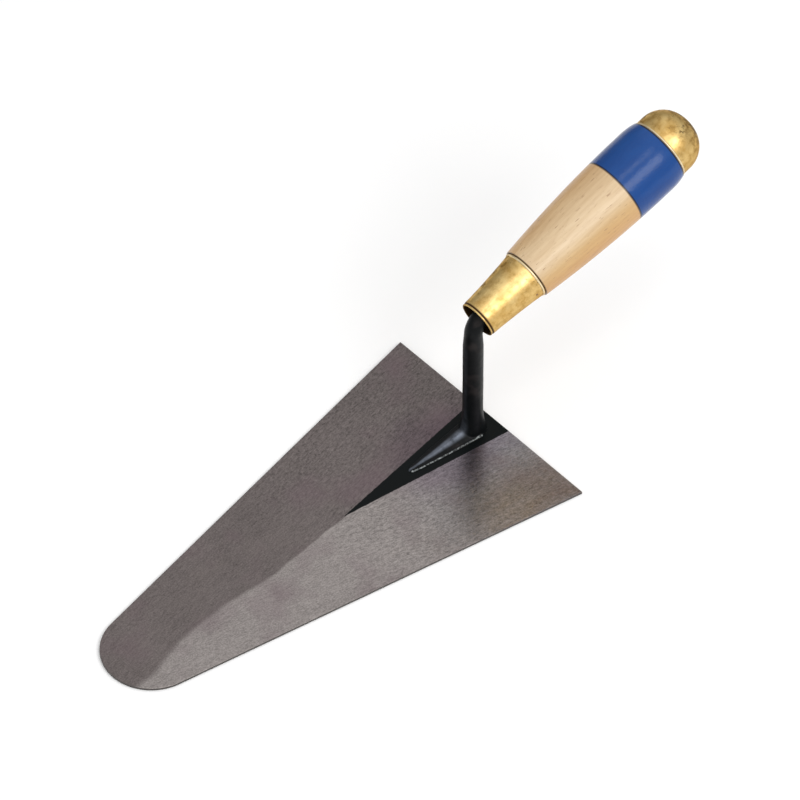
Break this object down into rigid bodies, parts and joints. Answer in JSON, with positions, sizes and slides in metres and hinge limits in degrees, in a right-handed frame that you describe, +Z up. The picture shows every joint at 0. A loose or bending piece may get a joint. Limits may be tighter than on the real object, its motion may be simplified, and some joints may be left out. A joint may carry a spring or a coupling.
{
  "type": "brick trowel",
  "caption": "Round-nosed masonry trowel: flat ground blade with a square heel, cranked round shank, turned grip with brass ferrule and domed end cap.",
  "frame": {"origin": "on the blade's underside, below the middle of the whole trowel, in its mirror plane", "axes": "+Z up from the blade, +X from the nose of the blade to the end of the grip, +Y to the left of someone looking along +X; XZ is the mirror plane"},
  "size_m": [0.3668, 0.1288, 0.1288],
  "materials": {
    "ground_steel": "ground, fine grain, with a black unground strip",
    "black_steel": "black lacquer over forged steel, satin",
    "brass": "polished, lightly tarnished",
    "nail_steel": "filed flush, browned",
    "beech": "turned and varnished, rear quarter in gloss blue lacquer",
    "blue_lacquer": "gloss lacquer on the rear of the grip"
  },
  "bodies": {
    "root": {"blade": "ground_steel", "shank": "black_steel", "ferrule": "brass", "ferrule_brad": "nail_steel", "grip": "beech", "end_cap": "brass"}
  },
  "joints": []
}
